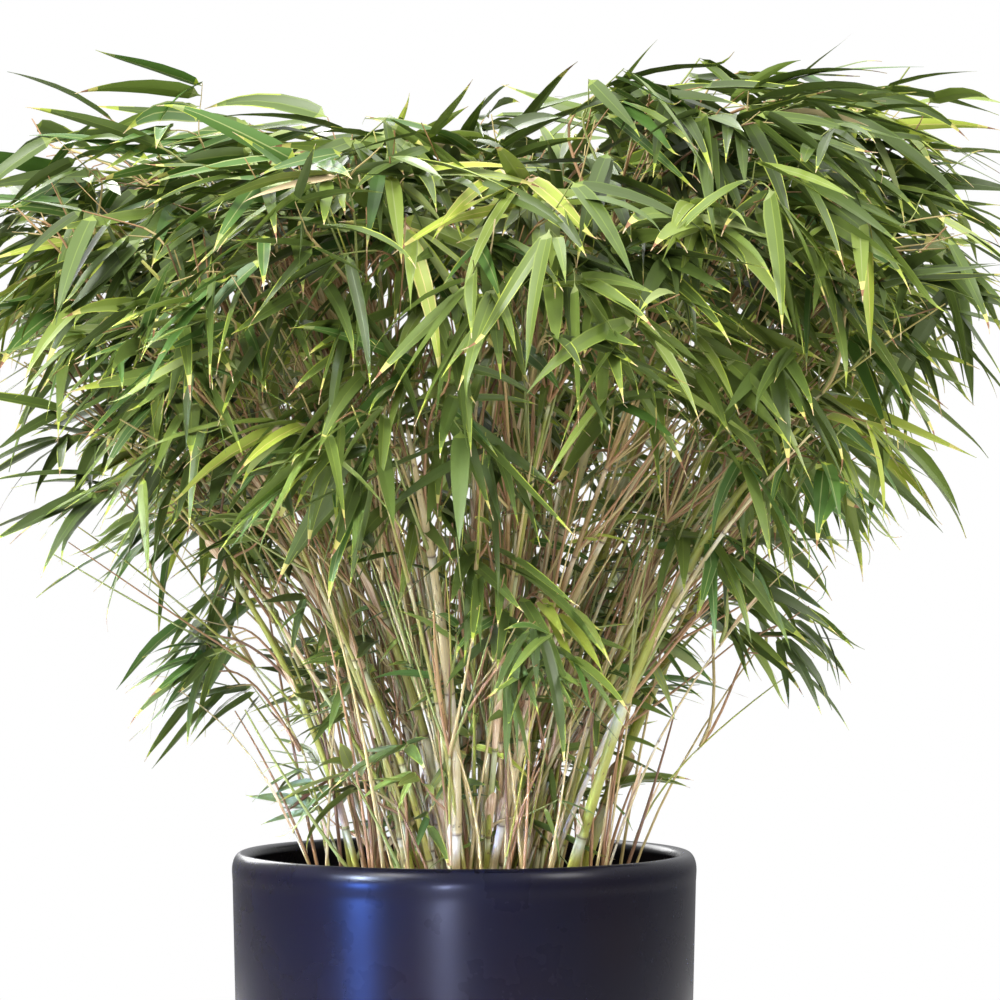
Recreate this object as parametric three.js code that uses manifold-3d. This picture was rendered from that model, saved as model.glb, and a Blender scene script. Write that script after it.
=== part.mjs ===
// A clump-forming bamboo in a round planter: slender canes fan out of the soil, and each one carries a
// mass of narrow leaves. The masses lie in tiers that widen upwards, so the crown is a bowl with an open
// core of canes. Units are millimetres and degrees. Z is up, the front faces -Y, and the origin is the
// centre of the pot's underside.
import * as THREE from "three";
import { mergeVertices } from "three/addons/utils/BufferGeometryUtils.js";
import Module from "manifold-3d";

const wasm = await Module();
wasm.setup();

// ---- driving dimensions ----
const POT = {
  rimRadius: 215,
  footRadius: 206,
  height: 380,
  wall: 14,
  base: 18,
  lipRoll: 9, // radius of the round that tops the wall
  lipProud: 2, // how far the lip stands out from the wall
  lipDepth: 24, // how far down the lip reaches
  footRound: 6,
  sides: 36,
  roundSteps: 3,
};
const SOIL = { belowRim: 40, gap: 0.6, sides: 32, clearance: 1 };
const CANE = {
  sides: 6,
  steps: 5,
  gap: 0.6, // clearance between a cane and the soil or the leaves round it
  tipShare: 0.42, // width of the tip as a share of the width of the foot
  shiftX: 8, // the clump stands this far to the right of the pot's middle
  bendOut: 0.32, // the bend lies this far along the way outwards
  bendUp: 0.66, // and this far along the way up
};
const CROWN = {
  shiftX: 24, // the crown stands a little to the right of the pot
  rise: 24, // and its right side is this much taller, its left side this much lower
  frontDip: 36, // the front of the crown is this much lower
  widthShare: 1.03, // the rings are wider than they are deep
  depthShare: 0.9,
  unevenness: 0.14, // height of the lobes as a share of the half-sizes
  waves: 5, // the lobes come from this many waves
  fewestLobes: 3,
  moreLobes: 4,
  gap: 5, // between neighbouring masses
  detail: 2,
  firstSeed: 101,
  seedStep: 17,
};

// Each tier is a ring of equal masses. phase turns the ring, ring and height place the middles of its
// masses, and radii are their outward, sideways and upright half-sizes. tilt is how far the outer edge
// hangs down. footRing and footWidth belong to the canes under them.
const TIERS = [
  {
    name: "heart",
    count: 1,
    phase: 0,
    ring: 0,
    height: 990,
    radii: [140, 130, 84],
    tilt: 0,
    footRing: 8,
    footWidth: 10,
  },
  {
    name: "top",
    count: 6,
    phase: 8,
    ring: 318,
    height: 1022,
    radii: [170, 172, 80],
    tilt: 9,
    footRing: 44,
    footWidth: 11,
  },
  {
    name: "upper",
    count: 7,
    phase: 176,
    ring: 366,
    height: 902,
    radii: [140, 168, 84],
    tilt: 24,
    footRing: 78,
    footWidth: 10,
  },
  {
    name: "middle",
    count: 6,
    phase: 20,
    ring: 344,
    height: 772,
    radii: [124, 176, 78],
    tilt: 36,
    footRing: 106,
    footWidth: 11,
  },
  {
    name: "lower",
    count: 5,
    phase: 190,
    ring: 292,
    height: 652,
    radii: [112, 130, 64],
    tilt: 44,
    footRing: 128,
    footWidth: 6,
  },
  {
    name: "skirt",
    count: 4,
    phase: 8,
    ring: 292,
    height: 552,
    radii: [86, 62, 40],
    tilt: 50,
    footRing: 142,
    footWidth: 5,
  },
];

const FINISH = {
  pot: { color: 0x14161f, roughness: 0.42, metalness: 0.0 },
  soil: { color: 0x2b1d14, roughness: 0.95, metalness: 0.0 },
  cane: { color: 0xb59a5f, roughness: 0.55, metalness: 0.0 },
  foliage: { color: 0x3f6b2a, roughness: 0.6, metalness: 0.0 },
};

// ---- helpers ----
const Z_UP = Math.PI / 2; // lathes and cylinders are made along Y and turned to stand on Z
const WELD = 1e-3; // points closer than this become one
const TALL = 1000; // height at which the crown's rise and dip reach their full amounts
const soilTop = POT.height - SOIL.belowRim;
const radians = THREE.MathUtils.degToRad;

// Repeatable random numbers from 0 to 1.
function randomFrom(seed) {
  let state = seed;
  return () => {
    state = (state * 1664525 + 1013904223) % 4294967296;
    return state / 4294967296;
  };
}

function bare(geometry) {
  geometry.deleteAttribute("normal");
  geometry.deleteAttribute("uv");
  return mergeVertices(geometry, WELD);
}

function solidOf(geometry) {
  const merged = bare(geometry.clone());
  const mesh = new wasm.Mesh({
    numProp: 3,
    vertProperties: merged.attributes.position.array,
    triVerts: new Uint32Array(merged.index.array),
  });
  return new wasm.Manifold(mesh);
}

function geometryOf(solid) {
  const { numProp, numVert, vertProperties, triVerts } = solid.getMesh();
  const points = new Float32Array(numVert * 3);
  for (let i = 0; i < numVert; i++)
    points.set(vertProperties.subarray(i * numProp, i * numProp + 3), i * 3);
  const geometry = new THREE.BufferGeometry();
  geometry.setAttribute("position", new THREE.BufferAttribute(points, 3));
  geometry.setIndex(new THREE.BufferAttribute(triVerts, 1));
  return geometry;
}

// A boolean cut can leave a sliver behind, so only the largest body is kept.
function largestBody(solid) {
  return solid.decompose().reduce((a, b) => (a.volume() > b.volume() ? a : b));
}

// A mesh whose own origin is at the given point, from geometry in the object's frame.
function meshAt(name, geometry, point, finish) {
  geometry.translate(-point.x, -point.y, -point.z);
  geometry.computeVertexNormals();
  const mesh = new THREE.Mesh(geometry, new THREE.MeshStandardMaterial(finish));
  mesh.name = name;
  mesh.position.copy(point);
  return mesh;
}

// ---- planter ----
function arc(centreX, centreY, radius, from, to) {
  return Array.from({ length: POT.roundSteps + 1 }, (_, i) => {
    const angle = radians(from + ((to - from) * i) / POT.roundSteps);
    return new THREE.Vector2(centreX + radius * Math.cos(angle), centreY + radius * Math.sin(angle));
  });
}

function wallRadius(height) {
  return THREE.MathUtils.lerp(POT.footRadius, POT.rimRadius - POT.lipProud, height / POT.height);
}

function buildPot() {
  const { rimRadius, footRadius, height, wall, base, lipRoll, lipDepth, footRound, sides } = POT;
  const profile = [
    new THREE.Vector2(0, 0),
    ...arc(footRadius - footRound, footRound, footRound, -90, 0),
    new THREE.Vector2(wallRadius(height - lipDepth), height - lipDepth),
    ...arc(rimRadius - lipRoll, height - lipRoll, lipRoll, 0, 180),
    new THREE.Vector2(wallRadius(height - lipDepth) - wall, height - lipDepth),
    new THREE.Vector2(footRadius - wall, base),
    new THREE.Vector2(0, base),
  ];
  const geometry = new THREE.LatheGeometry(profile, sides).rotateX(Z_UP);
  return meshAt("pot", bare(geometry), new THREE.Vector3(), FINISH.pot);
}

function buildSoil() {
  const inner = (height) => wallRadius(height) - POT.wall - SOIL.gap;
  const bottom = POT.base + SOIL.gap;
  const depth = soilTop - bottom;
  const flatSide = Math.cos(Math.PI / POT.sides); // the pot's faceted wall comes this much nearer the axis
  const topRadius = inner(soilTop) * flatSide - SOIL.clearance;
  const bottomRadius = inner(bottom) * flatSide - SOIL.clearance;
  const geometry = new THREE.CylinderGeometry(topRadius, bottomRadius, depth, SOIL.sides);
  geometry.rotateX(Z_UP).translate(0, 0, bottom + depth / 2);
  return meshAt("soil", bare(geometry), new THREE.Vector3(0, 0, bottom), FINISH.soil);
}

// ---- foliage ----
function layOut(tier, index) {
  const azimuth = radians(tier.phase + (360 * index) / tier.count);
  const turn = new THREE.Quaternion().setFromAxisAngle(new THREE.Vector3(0, 0, 1), azimuth);
  const hang = new THREE.Quaternion().setFromAxisAngle(new THREE.Vector3(0, 1, 0), radians(tier.tilt));
  const middle = new THREE.Vector3(tier.ring, 0, tier.height).applyQuaternion(turn);
  middle.x = middle.x * CROWN.widthShare + CROWN.shiftX;
  middle.y *= CROWN.depthShare;
  if (tier.ring > 0) {
    const slope = CROWN.rise * Math.cos(azimuth) + CROWN.frontDip * Math.min(0, Math.sin(azimuth));
    middle.z += slope * (tier.height / TALL) ** 4;
  }
  const name = `foliage_${tier.name}_${index + 1}`;
  return { name, tier, azimuth, middle, turn: turn.multiply(hang) };
}

// Distance from a mass's middle to its smooth surface along a direction.
function reach(mass, direction) {
  const local = direction.clone().applyQuaternion(mass.turn.clone().invert());
  const [outward, sideways, upright] = mass.tier.radii;
  return 1 / Math.hypot(local.x / outward, local.y / sideways, local.z / upright);
}

// Planes between a mass and its neighbours, placed in proportion to their sizes, keep every two masses apart.
function fencesOf(mass, masses) {
  return masses
    .filter((other) => other !== mass)
    .map((other) => {
      const towards = other.middle.clone().sub(mass.middle);
      const apart = towards.length();
      towards.divideScalar(apart);
      const own = reach(mass, towards);
      const theirs = reach(other, towards);
      return { towards, limit: (apart * own) / (own + theirs) - CROWN.gap / 2 };
    });
}

// An egg-shaped mass with lobes, from a few waves across its surface in random directions.
function buildMass(mass, masses, seed) {
  const random = randomFrom(seed);
  const waves = Array.from({ length: CROWN.waves }, () => ({
    across: new THREE.Vector3(random() - 0.5, random() - 0.5, random() - 0.5).normalize(),
    count: CROWN.fewestLobes + CROWN.moreLobes * random(),
    start: 2 * Math.PI * random(),
  }));
  const fences = fencesOf(mass, masses);
  const geometry = bare(new THREE.IcosahedronGeometry(1, CROWN.detail));
  const points = geometry.attributes.position;
  const direction = new THREE.Vector3();
  for (let i = 0; i < points.count; i++) {
    direction.fromBufferAttribute(points, i);
    const lobes = waves.reduce((sum, w) => sum + Math.sin(w.count * direction.dot(w.across) + w.start), 0);
    direction.multiplyScalar(1 + (CROWN.unevenness * lobes) / Math.sqrt(waves.length));
    direction.multiply(new THREE.Vector3(...mass.tier.radii)).applyQuaternion(mass.turn);
    const furthest = fences.reduce((least, { towards, limit }) => {
      const along = direction.dot(towards);
      return along > limit ? Math.min(least, limit / along) : least;
    }, 1);
    direction.multiplyScalar(furthest).add(mass.middle);
    points.setXYZ(i, direction.x, direction.y, direction.z);
  }
  return solidOf(geometry);
}

// ---- canes ----
// A cane leaves the soil leaning outwards, then curves up and over towards the middle of its own mass.
function caneCurve(mass) {
  const { footRing, footWidth } = mass.tier;
  const foot = new THREE.Vector3(
    footRing * Math.cos(mass.azimuth) + CANE.shiftX,
    footRing * Math.sin(mass.azimuth),
    soilTop + SOIL.gap,
  );
  const rise = mass.middle.z - foot.z;
  const bend = foot.clone().lerp(mass.middle, CANE.bendOut);
  bend.z = foot.z + CANE.bendUp * rise;
  return { curve: new THREE.QuadraticBezierCurve3(foot, bend, mass.middle), footWidth };
}

// A straight tapered rod with both ends closed, laid along the curve ring by ring. The foot is cut level.
function buildCane(mass, extra = 0) {
  const { curve, footWidth } = caneCurve(mass);
  const length = curve.getLength();
  const rod = new THREE.CylinderGeometry(
    (CANE.tipShare * footWidth) / 2 + extra,
    footWidth / 2 + extra,
    length,
    CANE.sides,
    CANE.steps,
  );
  const geometry = bare(rod.rotateX(Z_UP).translate(0, 0, length / 2));
  const points = geometry.attributes.position;
  const up = new THREE.Vector3(0, 0, 1);
  const offset = new THREE.Vector3();
  for (let i = 0; i < points.count; i++) {
    const along = Math.min(Math.round((points.getZ(i) / length) * CANE.steps) / CANE.steps, 1);
    const tangent = along > 0 ? curve.getTangentAt(along) : up;
    const facing = new THREE.Quaternion().setFromUnitVectors(up, tangent);
    offset.set(points.getX(i), points.getY(i), 0).applyQuaternion(facing).add(curve.getPointAt(along));
    points.setXYZ(i, offset.x, offset.y, offset.z);
  }
  return { solid: solidOf(geometry), foot: curve.v0 };
}

// ---- assembly ----
// A solid scaled up about its middle, so that its surface moves out by about the given amount.
function grown(solid, middle, by) {
  const { min, max } = solid.boundingBox();
  const meanHalf = (max[0] - min[0] + max[1] - min[1] + max[2] - min[2]) / 6;
  const share = 1 + by / meanHalf;
  return solid
    .translate([-middle.x, -middle.y, -middle.z])
    .scale([share, share, share])
    .translate([middle.x, middle.y, middle.z]);
}

const masses = TIERS.flatMap((tier) => Array.from({ length: tier.count }, (_, i) => layOut(tier, i)));
const plant = new THREE.Group();
plant.add(buildPot(), buildSoil());

masses.forEach((mass, i) => {
  mass.solid = buildMass(mass, masses, CROWN.firstSeed + CROWN.seedStep * i);
});

masses.forEach((mass) => {
  const cane = buildCane(mass);
  const leaves = grown(mass.solid, mass.middle, 2 * CANE.gap);
  const shortened = largestBody(cane.solid.subtract(leaves));
  const name = mass.name.replace("foliage", "cane");
  plant.add(meshAt(name, geometryOf(shortened), cane.foot, FINISH.cane));
  const clearance = buildCane(mass, CANE.gap).solid;
  masses
    .filter((other) => other !== mass && other.solid.intersect(clearance).volume() > 0)
    .forEach((other) => {
      other.solid = largestBody(other.solid.subtract(clearance));
    });
});

masses.forEach((mass) => {
  plant.add(meshAt(mass.name, geometryOf(mass.solid), mass.middle, FINISH.foliage));
});

export default plant;
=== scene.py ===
"""A clump-forming bamboo in a round glazed planter, laid out as a Blender add-on. Sizes are in metres."""
import collections
import functools
import math

import bpy
import numpy as np
from bpy.props import FloatProperty, FloatVectorProperty, IntProperty, PointerProperty
from bpy.types import Operator, Panel, PropertyGroup
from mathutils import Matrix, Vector
from mathutils.bvhtree import BVHTree


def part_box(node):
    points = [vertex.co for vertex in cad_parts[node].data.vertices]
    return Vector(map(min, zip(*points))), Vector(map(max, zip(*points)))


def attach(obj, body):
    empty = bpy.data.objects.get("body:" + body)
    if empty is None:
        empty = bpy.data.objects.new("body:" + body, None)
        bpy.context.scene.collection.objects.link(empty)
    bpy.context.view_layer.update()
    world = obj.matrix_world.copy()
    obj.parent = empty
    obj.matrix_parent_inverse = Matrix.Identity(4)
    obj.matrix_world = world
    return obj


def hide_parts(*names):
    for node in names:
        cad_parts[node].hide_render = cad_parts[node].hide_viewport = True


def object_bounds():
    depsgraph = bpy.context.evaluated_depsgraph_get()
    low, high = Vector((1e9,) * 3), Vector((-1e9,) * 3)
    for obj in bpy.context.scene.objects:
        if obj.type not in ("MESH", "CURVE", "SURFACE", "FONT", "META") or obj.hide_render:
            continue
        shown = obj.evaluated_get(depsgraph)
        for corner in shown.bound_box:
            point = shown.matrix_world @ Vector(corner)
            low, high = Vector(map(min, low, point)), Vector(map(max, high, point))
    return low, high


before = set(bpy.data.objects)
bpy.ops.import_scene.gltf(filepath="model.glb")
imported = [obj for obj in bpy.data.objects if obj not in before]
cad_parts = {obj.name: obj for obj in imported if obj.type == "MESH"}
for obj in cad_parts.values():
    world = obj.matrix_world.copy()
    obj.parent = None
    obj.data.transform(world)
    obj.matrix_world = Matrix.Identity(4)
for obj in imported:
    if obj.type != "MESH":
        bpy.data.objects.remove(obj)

bl_info = {
    "name": "Potted bamboo",
    "version": (1, 0, 0),
    "blender": (4, 5, 0),
    "location": "View3D > Sidebar > Bamboo",
    "description": "Canes, twigs, leaves, planter and soil of a potted bamboo",
    "category": "Add Mesh",
}

CAD_BOX = [list(map(float, corner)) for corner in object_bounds()]
BODY = "root"
POT_LOW, POT_HIGH = (np.array(corner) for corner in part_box("pot"))
SOIL_LOW, SOIL_HIGH = (np.array(corner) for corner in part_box("soil"))
MASSES = sorted(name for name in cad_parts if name.startswith("foliage_"))
UP = np.array([0.0, 0.0, 1.0])
LEVEL = np.array([1, 1, 0])  # times a vector, it takes the height away
ASKEW = [0.31, 0.52, 0.8]  # crossed with a path's direction, it gives one at right angles to the path


# ---- settings

LENGTH = {"min": 0.001, "unit": "LENGTH", "subtype": "DISTANCE"}
ANGLE = {"unit": "ROTATION", "subtype": "ANGLE"}
COLOUR = {"subtype": "COLOR", "size": 3, "min": 0, "max": 1}


class BambooPlanterSettings(PropertyGroup):
    rim_radius: FloatProperty(
        name="Rim radius", description="Outer radius of the lip", default=float(POT_HIGH[0]), **LENGTH)
    height: FloatProperty(
        name="Height", description="Height of the planter", default=float(POT_HIGH[2]), **LENGTH)
    glaze: FloatVectorProperty(
        name="Glaze", description="Colour of the satin glaze", default=(0.0028, 0.0030, 0.0075), **COLOUR)
    soil: FloatVectorProperty(
        name="Soil", description="Colour of the potting soil", default=(0.035, 0.021, 0.012), **COLOUR)


class BambooCaneSettings(PropertyGroup):
    per_mass: IntProperty(
        name="Canes per mass", description="Canes that grow into each mass of leaves", default=6, min=1)
    internode: FloatProperty(
        name="Internode", description="Distance between the joints of a cane", default=0.105, **LENGTH)
    seed: IntProperty(name="Seed", description="Seed of the growth", default=11, min=0)


class BambooLeafSettings(PropertyGroup):
    sprays: IntProperty(
        name="Sprays", description="Sprays of leaves in a mass of full size", default=27, min=1)
    length: FloatProperty(
        name="Leaf length", description="Length of a common leaf", default=0.127, **LENGTH)
    width: FloatProperty(
        name="Leaf width", description="Width of a common leaf", default=0.0162, **LENGTH)
    droop: FloatProperty(
        name="Droop", description="How far a leaf bends to the ground", default=math.radians(22), **ANGLE)


class BambooStageSettings(PropertyGroup):
    distance: FloatProperty(
        name="Distance", description="From the camera to the planter's axis", default=3.5, **LENGTH)
    eye_height: FloatProperty(
        name="Eye height", description="Height of the camera over the floor", default=0.643, **LENGTH)
    tilt: FloatProperty(
        name="Tilt", description="How far the camera looks up", default=math.radians(1.007), **ANGLE)
    lens: FloatProperty(name="Lens", description="Focal length in millimetres", default=135.7, min=10)
    key: FloatProperty(
        name="Key light", description="Power of the main light", default=152.0, min=0, unit="POWER")
    paper: FloatVectorProperty(
        name="Backdrop", description="Colour of the floor", default=(0.60, 0.585, 0.575), **COLOUR)


# ---- draws, vectors and paths

def draws(step):
    """A source of random draws for one step of the growth, from the seed in the settings."""
    return np.random.default_rng(bpy.context.scene.bamboo_canes.seed + step)


def unit(vectors):
    """Each vector divided by its length."""
    return vectors / np.maximum(np.linalg.norm(vectors, axis=-1, keepdims=True), 1e-12)


def bezier(points, t):
    """The Bezier curve of some control points at t (T,), by repeated lerps, as an array (T, 3)."""
    level = [np.broadcast_to(p, (len(t), 3)) for p in points]
    while len(level) > 1:
        level = [a + (b - a) * t[:, None] for a, b in zip(level, level[1:])]
    return level[0]


def polar(radius, angle, height):
    """Points at a distance from the Z axis, at an angle round it and at a height, as an array (..., 3)."""
    return np.stack(np.broadcast_arrays(radius * np.cos(angle), radius * np.sin(angle), height), axis=-1)


def off_axis(points):
    """How far points lie from the Z axis."""
    return np.hypot(points[..., 0], points[..., 1])


def lengths_along(path):
    """Distance from the first point to each point of a path."""
    return np.concatenate([[0], np.cumsum(np.linalg.norm(np.diff(path, axis=0), axis=1))])


def walk(path, distances):
    """Points at the given distances along a path, by linear interpolation."""
    along = lengths_along(path)
    return np.stack([np.interp(distances, along, path[:, axis]) for axis in range(3)], axis=1)


def arched(foot, knee, tip, rows):
    """Many quadratic Bezier curves, (1-t)^2 foot + 2t(1-t) knee + t^2 tip, as an array (N, rows, 3)."""
    t = np.linspace(0, 1, rows)[:, None, None]
    return ((1 - t) ** 2 * foot + 2 * t * (1 - t) * knee + t ** 2 * tip).transpose(1, 0, 2)


# ---- surfaces

def cells(index):
    """The four corners of every cell in grids of point numbers (..., rows, columns), as an array (F, 4)."""
    corners = [index[..., :-1, :-1], index[..., :-1, 1:], index[..., 1:, 1:], index[..., 1:, :-1]]
    return np.stack(corners, axis=-1).reshape(-1, 4)


def closed_round(index):
    """The cells of grids whose last column meets the first."""
    return cells(np.concatenate([index, index[..., :1]], axis=-1))


def tubes(paths, radii, sides):
    """Tubes along many paths at once, each closed by a flat cap at both ends.

    A ring at path point p is p + r (cos a . s + sin a . u), where s and u are at right angles to the path
    and a goes round in equal steps. paths is (N, K, 3) and radii (N, K).
    """
    tangent = unit(np.gradient(paths, axis=1))
    across = unit(np.cross(paths[:, -1] - paths[:, 0], ASKEW))
    side = unit(np.cross(tangent, across[:, None]))
    top = np.cross(tangent, side)
    angle = 2 * np.pi * np.arange(sides) / sides
    ring = np.cos(angle)[:, None] * side[:, :, None] + np.sin(angle)[:, None] * top[:, :, None]
    points = paths[:, :, None] + radii[:, :, None, None] * ring
    index = np.arange(points[..., 0].size).reshape(points.shape[:3])
    caps = np.concatenate([index[:, 0, ::-1], index[:, -1]])
    return points.reshape(-1, 3), [closed_round(index), caps]


def lathe(profile, sides, relief=None):
    """A profile (K, 2) of radius and height turned about Z, whose first and last points lie on the axis.

    The point at angle a is (r cos a, r sin a, z), and relief may move the whole grid of points.
    """
    angle = 2 * np.pi * np.arange(sides) / sides
    radius, height = (np.repeat(profile[1:-1, i:i + 1], sides, axis=1) for i in (0, 1))
    grid = polar(radius, angle, height)
    if relief is not None:
        grid = relief(grid)
    index = np.arange(radius.size).reshape(radius.shape)
    first, last = np.full(sides, radius.size), np.full(sides, radius.size + 1)
    fans = np.concatenate([
        np.stack([np.roll(index[0], -1), index[0], first], axis=-1),
        np.stack([index[-1], np.roll(index[-1], -1), last], axis=-1),
    ])
    poles = np.array([[0, 0, profile[0, 1]], [0, 0, profile[-1, 1]]])
    return np.concatenate([grid.reshape(-1, 3), poles]), [closed_round(index), fans]


def arc(centre, radius, start, end, steps):
    """Points (radius, height) on a circular arc, with angles in degrees from the outward direction."""
    angle = np.radians(np.linspace(start, end, steps))
    return np.stack([centre[0] + radius * np.cos(angle), centre[1] + radius * np.sin(angle)], axis=1)


# Where a leaf's rows and columns of points lie, from stalk to tip and from edge to edge.
LEAF_ROWS = np.array([0, 0.03, 0.08, 0.2, 0.4, 0.58, 0.72, 0.82, 0.895, 0.95, 1.0])
LEAF_COLUMNS = np.array([-1, -0.84, -0.07, 0.07, 0.84, 1.0])
LEAF_CELLS = len(LEAF_ROWS) - 1, len(LEAF_COLUMNS) - 1


def leaf_blades(base, heading, length, width, bend, hook, fold, roll, twist, ripple):
    """Bamboo leaves, each one sheet over (t, u), as grids (N, rows, columns, 3).

    The midrib starts along heading and turns towards the ground by bend . t^1.4, and its tip by hook more.
    The half-width is width / 2 . (1 - exp(-t / 0.055)) . (1 - t^2.8)^1.3: it soon reaches its full width,
    keeps it past the middle and ends in a long thread. The two halves rise from the midrib by the fold angle,
    the blade rolls by roll + twist . t, and its edges wave by ripple . sin(9 t). Each leaf has its own value
    of every argument.
    """
    t, u = LEAF_ROWS, LEAF_COLUMNS
    down = unit(heading * heading[:, 2:3] - UP + 1e-3)
    limit = 0.92 * np.arccos(np.clip(-heading[:, 2], -1, 1))
    angle = np.minimum(bend, limit)[:, None] * t ** 1.4 + hook[:, None] * np.clip((t - 0.8) / 0.2, 0, 1)
    tangent = np.cos(angle)[..., None] * heading[:, None] + np.sin(angle)[..., None] * down[:, None]
    steps = 0.5 * (tangent[:, 1:] + tangent[:, :-1]) * np.diff(t)[:, None]
    spine = np.concatenate([np.zeros((len(base), 1, 3)), np.cumsum(steps, axis=1)], axis=1)
    spine = base[:, None] + length[:, None, None] * spine
    level = unit(np.cross(heading, down))[:, None]
    raised = np.cross(tangent, np.broadcast_to(level, tangent.shape))
    turn = (roll[:, None] + twist[:, None] * t)[..., None]
    side = np.cos(turn) * level + np.sin(turn) * raised
    face = np.cos(turn) * raised - np.sin(turn) * level
    stalk = np.clip((t - 0.015) / 0.05, 0, 1)
    outline = (1 - np.exp(-t / 0.055)) * (1 - t ** 2.8) ** 1.3 * stalk
    half = 0.5 * width[:, None] * np.maximum(outline, 0.03)
    lift = np.tan(fold)[:, None, None] * half[..., None] * np.abs(u)
    swell = np.sin(9 * t + 40 * length[:, None])[..., None]
    wave = ripple[:, None, None] * swell * np.abs(u) * stalk[:, None]
    grid = spine[:, :, None] + (half[..., None] * u)[..., None] * side[:, :, None]
    return grid + (lift + wave)[..., None] * face[:, :, None]


def add_object(name, data):
    """A new object in the scene."""
    made = bpy.data.objects.new(name, data)
    bpy.context.scene.collection.objects.link(made)
    return made


def make_piece(name, points, faces, materials, face_material=None, attributes=None, smooth=True):
    """A mesh object at the origin from points (V, 3) and a list of face arrays, one for each face size."""
    mesh = bpy.data.meshes.new(name)
    corners = np.concatenate([f.ravel() for f in faces])
    sizes = np.concatenate([np.full(len(f), f.shape[1]) for f in faces])
    mesh.vertices.add(len(points))
    mesh.vertices.foreach_set("co", np.ascontiguousarray(points, np.float32).ravel())
    mesh.loops.add(len(corners))
    mesh.loops.foreach_set("vertex_index", corners.astype(np.int32))
    mesh.polygons.add(len(sizes))
    mesh.polygons.foreach_set("loop_start", np.concatenate([[0], np.cumsum(sizes)[:-1]]).astype(np.int32))
    mesh.polygons.foreach_set("use_smooth", np.full(len(sizes), smooth))
    if face_material is not None:
        mesh.polygons.foreach_set("material_index", face_material.astype(np.int32))
    for key, values in (attributes or {}).items():
        kind, field = ("FLOAT_VECTOR", "vector") if values.ndim == 2 else ("FLOAT", "value")
        layer = mesh.attributes.new(key, kind, "POINT")
        layer.data.foreach_set(field, np.ascontiguousarray(values, np.float32).ravel())
    for material in materials:
        mesh.materials.append(material)
    mesh.update(calc_edges=True)
    return add_object(name, mesh)


def place(piece, nodes=()):
    """The piece rides on the plant's one body and stands for the given nodes, which it hides."""
    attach(piece, BODY)
    if nodes:
        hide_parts(*nodes)


def joined(parts):
    """One set of points and face arrays from several, with the faces' numbers moved along."""
    groups, start = {}, 0
    for points, faces in parts:
        for group in faces:
            groups.setdefault(group.shape[1], []).append(group + start)
        start += len(points)
    return np.concatenate([points for points, _ in parts]), [np.concatenate(g) for g in groups.values()]


# ---- growth

def node_points(name):
    """The corner points of a CAD node, as an array (V, 3)."""
    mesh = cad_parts[name].data
    points = np.zeros(len(mesh.vertices) * 3)
    mesh.vertices.foreach_get("co", points)
    return points.reshape(-1, 3)


@functools.cache
def search_tree(*names):
    """One search tree over the surfaces of some CAD nodes."""
    points, triangles = [], []
    for mesh in (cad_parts[name].data for name in names):
        start = len(points)
        points.extend(tuple(vertex.co) for vertex in mesh.vertices)
        triangles.extend(tuple(start + corner for corner in polygon.vertices) for polygon in mesh.polygons)
    return BVHTree.FromPolygons(points, triangles)


class Mass:
    """A CAD mass of leaves: its solid for inside tests, its middle and its box."""

    def __init__(self, name):
        points = node_points(name)
        self.name = name
        self.tier = name.split("_")[1]
        self.low, self.high = points.min(0), points.max(0)
        self.middle = (self.low + self.high) / 2
        self.tree = search_tree(name)

    def holds(self, point):
        """True where the nearest face looks away from the point."""
        near, normal, _, _ = self.tree.find_nearest(Vector(point))
        return (Vector(point) - near).dot(normal) < 0

    def scatter(self, count, rng):
        """Points inside the solid, each the furthest of several tries from those already there."""
        chosen = []
        while len(chosen) < count:
            tries = [p for p in rng.uniform(self.low, self.high, (24, 3)) if self.holds(p)]
            if not tries:
                continue
            if not chosen:
                chosen.append(tries[0])
                continue
            gaps = [np.min(np.linalg.norm(np.array(chosen) - p, axis=1)) for p in tries]
            chosen.append(tries[int(np.argmax(gaps))])
        return np.array(chosen)


def crown_gap(points):
    """How far each point lies outside the masses: negative inside one of them."""
    gaps = []
    for point in points:
        near, normal, _, distance = search_tree(*MASSES).find_nearest(Vector(point))
        gaps.append(distance if (Vector(point) - near).dot(normal) > 0 else -distance)
    return np.array(gaps)


def cane_foot(mass):
    """Middle and radius of the foot of the CAD cane under a mass."""
    points = node_points(mass.name.replace("foliage", "cane"))
    foot = points[points[:, 2] < points[:, 2].min() + 1e-4]
    middle = (foot.min(0) + foot.max(0)) / 2
    return middle, np.linalg.norm(foot - middle, axis=1).max()


BEND_OUT, BEND_UP = 0.32, 0.66  # where a cane bends: its share of the way out and of the way up
PATH_ROWS = 60  # points along a cane
Tier = collections.namedtuple("Tier", "density extra_canes pitch leaf_scale draw_in raised")
# How densely a tier of masses is filled, its share of extra canes, the angle in degrees at which its leaves
# point up, their size, and how far in and up its spray bases are moved, in metres. The bases keep inside the
# surface that the leaf tips reach. The last row is for the young sprays low on the canes.
TIERS = {
    "heart": Tier(0.8, 1.6, 0, 1, 0, -0.008),
    "top": Tier(0.62, 1.2, -26, 1.05, 0.04, -0.014),
    "upper": Tier(0.56, 1.1, -42, 1, 0.045, 0.022),
    "middle": Tier(0.4, 0.8, -52, 0.95, 0.06, 0.04),
    "lower": Tier(0.2, 0.25, -52, 0.86, 0.075, 0.05),
    "skirt": Tier(0.18, 0, -48, 0.8, 0.08, 0.05),
    "low": Tier(0, 0, -25, 1, 0, 0),
}
SHRINK = 0.84  # spray bases stand this share of the way out from a mass's middle
PITCH_SPREAD = 17  # how much the angle of the leaves differs from spray to spray, in degrees
# Young sprays on the bare canes: from and to which height over the soil, and how many.
LOW_BANDS = [(-1, 0.15, 48), (0.12, 0.26, 60), (0.26, 0.46, 90)]


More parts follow.
